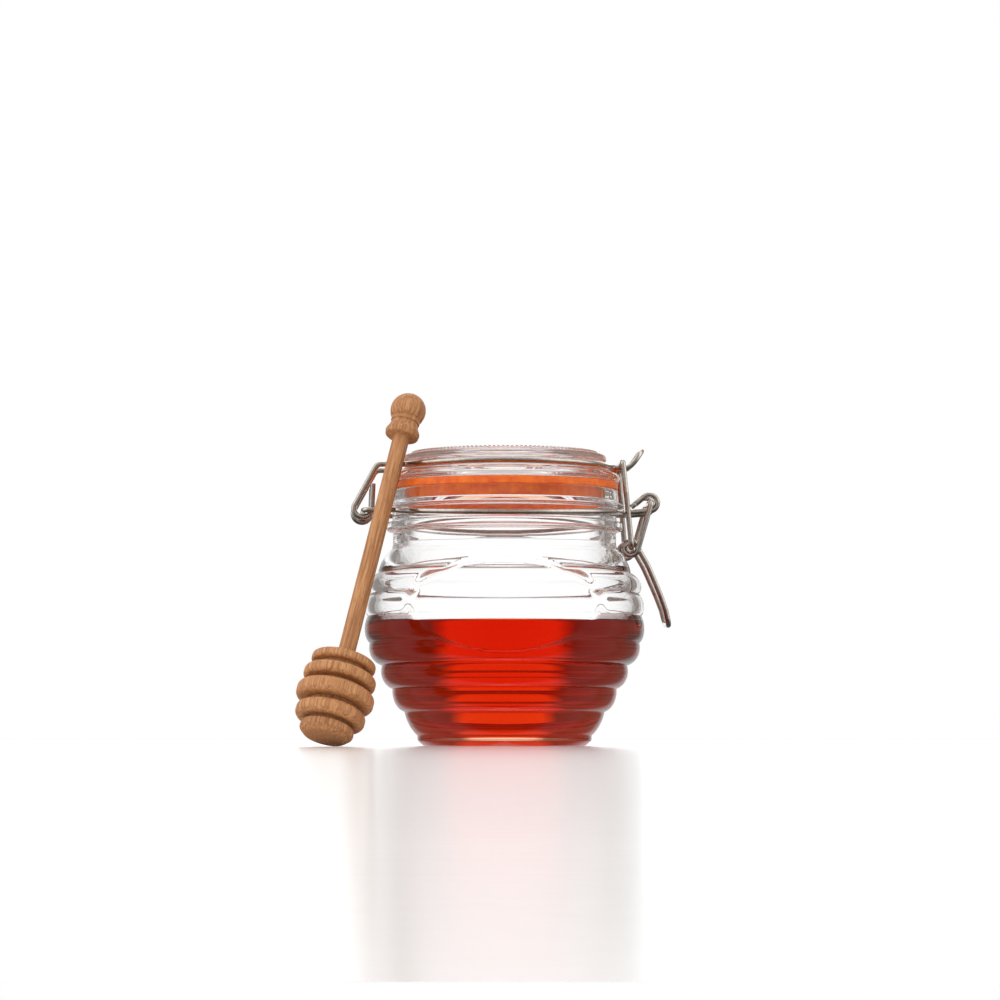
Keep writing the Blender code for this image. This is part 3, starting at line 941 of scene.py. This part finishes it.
@dataclass
class LidWire(BentWire):
    """The wire in the lid's groove, with the hinge loops and the tongue."""

    name: str = "lid_wire_bent"
    node: str = "lid_wire"
    closed: bool = False
    ring_radius: float = 37.7
    height: float = 100.5
    strand_y: float = 14.6
    loop_centre: tuple[float, float] = (-51.35, 84.65)
    loop_radius: float = 3.2
    tail_end: tuple[float, float] = (-47.8, 93.5)
    shoulder: tuple[float, float] = (-46.3, 100.5)
    tongue_y: float = 5.0
    tongue: tuple[tuple[float, float], ...] = ((42.1, 100.0), (44.9, 100.7), (47.0, 102.8), (49.85, 106.9))

    def route(self) -> Route:
        """Return the wire's route."""
        y = -self.strand_y
        tail = [Vector((self.tail_end[0], y, self.tail_end[1]))]
        loop = self.arc(self.loop_centre, self.loop_radius, (0.0, math.radians(-195.0)), (y, y))
        ring = self.ring(self.ring_radius, (-149.0, -14.0), lambda angle: self.height)
        shoulder = rounded_route((
            (loop[-1], 0.0),
            ((self.shoulder[0], y, self.shoulder[1]), 2.6),
            ((-36.2, y, self.height), 2.2),
            (ring[0], 0.0),
        ))
        dip, rise, neck, tip = self.tongue
        start = rounded_route((
            (ring[-1], 0.0),
            ((38.6, -self.tongue_y, self.height), 2.2),
            ((dip[0], -self.tongue_y, dip[1]), 0.0),
        ))
        curve = through((dip, rise, neck), 5)[1:]
        tongue = start + [Vector((x, -self.tongue_y, z)) for x, z in curve]
        run = Vector((tip[0] - neck[0], 0.0, tip[1] - neck[1]))
        base = Vector((neck[0], 0.0, neck[1]))
        for share in range(1, 8):
            turn = math.pi / 2.0 * share / 8.0
            side = Vector((0.0, -self.tongue_y * math.cos(turn), 0.0))
            tongue.append(base + run * math.sin(turn) + side)
        front = tail + loop + shoulder[1:-1] + ring[:-1] + tongue
        return front + [Vector((tip[0], 0.0, tip[1]))] + self.mirrored(front)


@dataclass
class BailLink(BentWire):
    """The closed link from the tongue to the lever's eyes, butt-welded in its front leg."""

    name: str = "bail_link_bent"
    node: str = "bail_link"
    closed: bool = True
    top: tuple[float, float, float] = (42.1, 10.0, 102.35)
    bottom: tuple[float, float, float] = (44.9, 13.9, 71.0)
    weld_share: float = 0.33
    weld_half: float = 0.35

    def route(self) -> Route:
        """Return the link's route, with close points at the weld."""
        front = rounded_route((
            ((self.top[0], 0.0, self.top[2]), 0.0),
            ((self.top[0], -self.top[1], self.top[2]), 2.2),
            ((self.bottom[0], -self.bottom[1], self.bottom[2]), 2.0),
            ((self.bottom[0], 0.0, self.bottom[2]), 0.0),
        ))
        longest = max(range(len(front) - 1), key=lambda index: (front[index + 1] - front[index]).length)
        start, end = front[longest], front[longest + 1]
        middle = start.lerp(end, self.weld_share)
        along = (end - start).normalized() * self.weld_half
        weld = [middle + along * share for share in (-2.0, -1.0, 0.0, 1.0, 2.0)]
        swells = (1.0, 1.1, 0.93, 1.12, 1.0)
        self.bulges = tuple((longest + 1 + index, swell) for index, swell in enumerate(swells))
        points = front[:longest + 1] + weld + front[longest + 1:]
        return points + self.mirrored(front)[1:-1]


@dataclass
class LatchLever(BentWire):
    """The closed lever with its top bar in the hooks, two eyes round the link, and a handle."""

    name: str = "latch_lever_bent"
    node: str = "latch_lever"
    closed: bool = True
    pivot: tuple[float, float] = (52.3, 87.4)
    leg_y: float = 11.1
    eye: tuple[float, float] = (44.9, 70.8)
    eye_radius: float = 2.5
    eye_inner_y: float = 8.7
    handle: tuple[tuple[float, float], ...] = ((51.4, 64.3), (55.7, 54.2), (57.7, 48.7))
    end: tuple[float, float] = (59.0, 43.3)
    end_y: float = 6.2
    twist: tuple[float, float] = (-0.2, 0.8)

    def side(self, end: tuple[float, float]) -> Route:
        """Return one side of the lever, drawn at the front.

        Args:
            end: X and Z of that side's end of the handle.

        Returns:
            Points from the top bar's middle to the last stretch of the handle.
        """
        right = self.eye[0] + self.eye_radius
        leg = Vector((right - self.pivot[0], 0.0, self.eye[1] - self.pivot[1]))
        entry = math.asin(leg.x / leg.length)
        start = Vector((self.handle[0][0] - right, 0.0, self.handle[0][1] - self.eye[1]))
        leave = math.asin(start.x / start.length) - 2.0 * math.pi
        eye = self.arc(self.eye, self.eye_radius, (entry, leave), (-self.leg_y, -self.eye_inner_y))
        top = rounded_route((
            ((self.pivot[0], 0.0, self.pivot[1]), 0.0),
            ((self.pivot[0], -self.leg_y, self.pivot[1]), 1.2),
            (eye[0], 0.0),
        ))
        narrowing = (self.eye_inner_y - self.end_y) / len(self.handle)
        strand = []
        for index, (x, z) in enumerate(self.handle):
            share = (index + 1) / (len(self.handle) + 1)
            strand.append((
                x + (end[0] - self.end[0]) * share,
                -self.eye_inner_y + narrowing * index,
                z + (end[1] - self.end[1]) * share,
            ))
        soft = rounded_route([(eye[-1], 0.0), *((spot, 12.0) for spot in strand[:-1]), (strand[-1], 0.0)])
        return top[:-1] + eye + soft[1:]

    def route(self) -> Route:
        """Return the lever's route."""
        rear_end = (self.end[0] + self.twist[0], self.end[1] + self.twist[1])
        front = self.side(self.end)
        rear = self.mirrored(self.side(rear_end))
        bend = rounded_route((
            (front[-1], 0.0),
            ((self.end[0], -self.end_y, self.end[1]), 3.0),
            ((rear_end[0], self.end_y, rear_end[1]), 3.0),
            (rear[0], 0.0),
        ))
        return front + bend[1:-1] + rear[:-1]


@dataclass
class HoneyDipper:
    """The turned beech dipper that stands on the floor and leans on the lid wire."""

    steps: int = 128
    touch: tuple[float, float, float] = (-40.1, -19.2, 100.5)
    lean: tuple[float, float, float] = (0.2520, 0.375, 1.0)
    lowest: float = 0.05
    cap: tuple[tuple[float, float, float], ...] = (
        (0.0, 0.0, 0.0), (7.4, 0.0, 1.2), (9.5, 1.9, 1.6), (9.3, 4.2, 0.5), (7.6, 4.4, 0.4), (7.6, 5.6, 0.4),
    )
    discs: tuple[tuple[float, float, float, float], ...] = (
        (5.7, 10.7, 12.2, 2.0), (12.6, 18.1, 13.6, 2.0), (20.1, 24.3, 12.7, 1.6), (26.5, 29.6, 11.3, 1.2),
    )
    root: float = 8.4
    shaft: float = 3.0
    head_top: float = 30.0
    collar: tuple[tuple[float, float, float], ...] = (
        (3.0, 117.5, 0.3), (5.9, 117.5, 0.7), (6.2, 119.4, 0.8), (5.2, 121.4, 2.0), (4.9, 122.9, 0.2),
        (4.6, 123.0, 0.1), (5.2, 123.3, 0.3), (5.2, 124.6, 0.3), (4.9, 124.8, 0.1),
    )
    ball: tuple[float, float] = (128.3, 6.35)
    ball_foot: tuple[float, float] = (5.75, 2.9)
    ball_steps: int = 18

    def outline(self) -> Outline:
        """Return the outline from the flat under the head to the ball's top."""
        corners = list(self.cap)
        for bottom, top, radius, rounding in self.discs:
            corners += [
                (self.root, bottom, 0.3),
                (radius, bottom, rounding),
                (radius, top, rounding),
                (self.root, top, 0.3),
            ]
        corners[-1] = (self.root + 0.4, self.head_top - 0.2, 1.5)
        corners += [(self.shaft, self.head_top, 0.4), *self.collar]
        centre, radius = self.ball
        points = filleted([*corners, (self.ball_foot[0], centre - self.ball_foot[1], 0.0)], 12.0)
        start = math.asin(-self.ball_foot[1] / radius)
        for step in range(1, self.ball_steps + 1):
            angle = start + (math.pi / 2.0 - start) * step / self.ball_steps
            across = radius * math.cos(angle) if step < self.ball_steps else 0.0
            points.append((across, centre + radius * math.sin(angle)))
        return points

    def placement(self, outline: Outline) -> Matrix:
        """Return the matrix that leans the dipper with its cap just on the floor.

        Args:
            outline: Its outline in millimetres.

        Returns:
            The placement in metres.
        """
        axis = Vector(self.lean).normalized()
        sine = math.sqrt(1.0 - axis.z * axis.z)
        low = min(height * axis.z - radius * sine for radius, height in outline)
        touch = Vector(self.touch)
        foot = touch + axis * ((self.lowest - low - touch.z) / axis.z)
        turn = Vector((0.0, 0.0, 1.0)).rotation_difference(axis).to_matrix().to_4x4()
        return Matrix.Translation(foot * MM) @ turn

    def build(self) -> bpy.types.Object:
        """Build the dipper in its beech finish."""
        outline = self.outline()
        place = self.placement(outline)
        shape = turned_shape(outline, self.steps)
        shape.transform(place)
        bmesh.ops.recalc_face_normals(shape, faces=shape.faces)
        finish = TurnedBeech(foot=tuple(place.to_translation()), tilt=tuple(place.to_euler()))
        return make_piece("beech_dipper", shape, [finish], Slot.BEECH, ["dipper"])


@dataclass
class Studio:
    """White floor and backdrop, soft boxes and the camera.

    The room is matched to the photograph: its brightness changes with direction, and it differs for light
    seen through glass, mirrored in glass, mirrored in satin metal and falling on matt surfaces. None of it
    belongs to the pieces.
    """

    distance: float = 1.230
    azimuth: float = math.radians(-3.0)
    height: float = 0.0036
    lens: float = 122.66
    pitch: float = math.atan(236.0 / 3407.0)
    yaw: float = math.atan(4.5 / 3407.0)
    backdrop_turn: float = math.radians(3.5)

    def floor(self) -> None:
        """Lay the floor, which light mirrored in or seen through the pieces doesn't meet."""
        shape = bmesh.new()
        bmesh.ops.create_grid(shape, x_segments=2, y_segments=2, size=1.6)
        mesh = bpy.data.meshes.new("floor_card")
        shape.to_mesh(mesh)
        shape.free()
        mesh.materials.append(FloorCard().material())
        card = bpy.data.objects.new("floor_card", mesh)
        card.visible_glossy = False
        card.visible_transmission = False
        bpy.context.scene.collection.objects.link(card)

    def world(self) -> None:
        """Light the room: white behind, darker flags between the soft boxes, white where seen directly."""
        world = bpy.data.worlds.new("studio_room")
        bpy.context.scene.world = world
        world.use_nodes = True
        tree = world.node_tree
        background = next(node for node in tree.nodes if node.type == "BACKGROUND")
        direction = add_node(tree, "ShaderNodeTexCoord").outputs["Generated"]
        parts = add_node(tree, "ShaderNodeSeparateXYZ", links={"Vector": direction})
        bearing = add_node(
            tree, "ShaderNodeMath",
            settings={"operation": "ARCTAN2"},
            links={0: parts.outputs["X"], 1: parts.outputs["Y"]},
        )
        turned = add_node(
            tree, "ShaderNodeMath",
            settings={"operation": "SUBTRACT"},
            values={1: self.backdrop_turn},
            links={0: bearing.outputs[0]},
        )
        unsigned = add_node(
            tree, "ShaderNodeMath",
            settings={"operation": "ABSOLUTE"},
            links={0: turned.outputs[0]},
        )
        share = add_node(
            tree, "ShaderNodeMath",
            settings={"operation": "DIVIDE"},
            values={1: math.pi},
            links={0: unsigned.outputs[0]},
        )
        seen_through = add_node(tree, "ShaderNodeValToRGB", links={"Fac": share.outputs[0]})
        set_ramp(seen_through, (
            (0.0, (1.2, 1.2, 1.2, 1.0)), (0.08, (1.2, 1.2, 1.2, 1.0)), (0.115, (0.28, 0.26, 0.25, 1.0)),
            (0.32, (0.24, 0.22, 0.21, 1.0)), (0.42, (0.5, 0.49, 0.48, 1.0)), (0.60, (0.4, 0.39, 0.38, 1.0)),
            (0.70, (0.2, 0.2, 0.2, 1.0)), (0.9, (0.3, 0.3, 0.3, 1.0)),
        ))
        mirrored = add_node(tree, "ShaderNodeValToRGB", links={"Fac": share.outputs[0]})
        set_ramp(mirrored, (
            (0.0, (0.7, 0.7, 0.7, 1.0)), (0.12, (0.7, 0.7, 0.7, 1.0)), (0.18, (0.28, 0.24, 0.2, 1.0)),
            (0.36, (0.28, 0.24, 0.2, 1.0)), (0.42, (0.42, 0.4, 0.38, 1.0)), (0.6, (0.34, 0.32, 0.3, 1.0)),
            (0.7, (0.05, 0.05, 0.05, 1.0)), (1.0, (0.03, 0.03, 0.03, 1.0)),
        ))
        path = add_node(tree, "ShaderNodeLightPath")
        reflected = add_node(
            tree, "ShaderNodeMath",
            settings={"operation": "SUBTRACT", "use_clamp": True},
            links={0: path.outputs["Is Glossy Ray"], 1: path.outputs["Is Transmission Ray"]},
        )
        overhead = add_node(
            tree, "ShaderNodeMapRange",
            values={"From Min": 0.35, "From Max": 0.8},
            links={"Value": parts.outputs["Z"]},
        )
        topped = add_node(
            tree, "ShaderNodeMix",
            settings={"data_type": "RGBA"},
            values={7: (0.65, 0.62, 0.6, 1.0)},
            links={0: overhead.outputs["Result"], 6: seen_through.outputs["Color"]},
        )
        soft_top = add_node(
            tree, "ShaderNodeMix",
            settings={"data_type": "RGBA"},
            values={7: (0.35, 0.35, 0.35, 1.0)},
            links={0: overhead.outputs["Result"], 6: mirrored.outputs["Color"]},
        )
        on_satin = add_node(tree, "ShaderNodeValToRGB", links={"Fac": share.outputs[0]})
        set_ramp(on_satin, (
            (0.0, (1.15, 1.15, 1.15, 1.0)), (0.12, (1.15, 1.15, 1.15, 1.0)), (0.2, (0.3, 0.28, 0.27, 1.0)),
            (0.36, (0.3, 0.28, 0.27, 1.0)), (0.44, (1.0, 0.98, 0.96, 1.0)), (0.68, (0.9, 0.88, 0.86, 1.0)),
            (0.8, (0.36, 0.34, 0.32, 1.0)), (1.0, (0.32, 0.3, 0.28, 1.0)),
        ))
        above = add_node(
            tree, "ShaderNodeMapRange",
            values={"From Min": -0.5, "From Max": 0.3, "To Min": 0.15, "To Max": 1.5},
            links={"Value": parts.outputs["Z"]},
        )
        satin = add_node(
            tree, "ShaderNodeVectorMath",
            settings={"operation": "SCALE"},
            links={0: on_satin.outputs["Color"], 3: above.outputs["Result"]},
        )
        sharpness = add_node(
            tree, "ShaderNodeMix",
            settings={"data_type": "RGBA"},
            links={0: path.outputs["Is Singular Ray"], 6: satin.outputs["Vector"], 7: soft_top.outputs[2]},
        )
        glass_light = add_node(
            tree, "ShaderNodeMix",
            settings={"data_type": "RGBA"},
            links={0: reflected.outputs[0], 6: topped.outputs[2], 7: sharpness.outputs[2]},
        )
        matt = add_node(
            tree, "ShaderNodeMath",
            settings={"operation": "GREATER_THAN"},
            values={1: 0.5},
            links={0: path.outputs["Diffuse Depth"]},
        )
        side_light = add_node(
            tree, "ShaderNodeMapRange",
            values={"From Min": -1.0, "From Max": 1.0, "To Min": 1.3, "To Max": 0.68},
            links={"Value": parts.outputs["X"]},
        )
        through_glass = add_node(
            tree, "ShaderNodeMapRange",
            values={"From Min": 0.0, "From Max": 2.0, "To Min": 1.0, "To Max": 1.9},
            links={"Value": path.outputs["Transmission Depth"]},
        )
        room_light = add_node(
            tree, "ShaderNodeMath",
            settings={"operation": "MULTIPLY"},
            links={0: side_light.outputs["Result"], 1: through_glass.outputs["Result"]},
        )
        bounced = add_node(
            tree, "ShaderNodeMix",
            settings={"data_type": "RGBA"},
            links={0: matt.outputs[0], 6: glass_light.outputs[2], 7: room_light.outputs[0]},
        )
        direct = add_node(
            tree, "ShaderNodeMix",
            settings={"data_type": "RGBA"},
            values={7: (1.0, 1.0, 1.0, 1.0)},
            links={0: path.outputs["Is Camera Ray"], 6: bounced.outputs[2]},
        )
        tree.links.new(direct.outputs[2], background.inputs["Color"])

    def soft_box(self, name: str, spot: Sequence[float], size: float, watts: float) -> None:
        """Hang a soft box that faces the jar.

        Args:
            name: Its name.
            spot: Its place in metres.
            size: Its side in metres.
            watts: Its power.
        """
        light = bpy.data.lights.new(name, "AREA")
        light.size = size
        light.energy = watts
        light.use_shadow = True
        lamp = bpy.data.objects.new(name, light)
        lamp.location = spot
        aim = Vector((0.0, 0.0, 0.05)) - Vector(spot)
        lamp.rotation_euler = aim.to_track_quat("-Z", "Y").to_euler()
        lamp.visible_glossy = False
        lamp.visible_transmission = False
        bpy.context.scene.collection.objects.link(lamp)

    def camera(self) -> None:
        """Set the camera at the photographed angle."""
        data = bpy.data.cameras.new("studio_camera")
        data.sensor_width = 36.0
        data.lens = self.lens
        data.clip_start = 0.05
        data.clip_end = 20.0
        camera = bpy.data.objects.new("studio_camera", data)
        camera.location = (
            math.sin(self.azimuth) * self.distance,
            -math.cos(self.azimuth) * self.distance,
            self.height,
        )
        camera.rotation_euler = (math.pi / 2.0 + self.pitch, 0.0, self.azimuth + self.yaw)
        bpy.context.scene.collection.objects.link(camera)
        bpy.context.scene.camera = camera

    def build(self) -> None:
        """Set up floor, room, lights, camera and the light paths that glass needs."""
        self.floor()
        self.world()
        self.soft_box("key_box", (-0.55, -0.75, 0.75), 0.6, 2.0)
        self.soft_box("fill_box", (0.8, -0.5, 0.5), 0.6, 0.4)
        self.soft_box("top_box", (0.0, 0.1, 1.1), 0.8, 1.0)
        self.camera()
        scene = bpy.context.scene
        scene.view_settings.view_transform = "Standard"
        scene.cycles.max_bounces = 32
        scene.cycles.transmission_bounces = 28
        scene.cycles.glossy_bounces = 12
        scene.cycles.diffuse_bounces = 4
        scene.cycles.caustics_reflective = False


def main() -> None:
    """Build every piece in order."""
    logging.basicConfig(level=logging.INFO, format="%(message)s")
    jar = RibbedJar()
    jar.build()
    HoneyFill(jar).build()
    ClipLid().build()
    NeckWire().build()
    LidWire().build()
    BailLink().build()
    LatchLever().build()
    HoneyDipper().build()
    Studio().build()


if __name__ == "__main__":
    main()
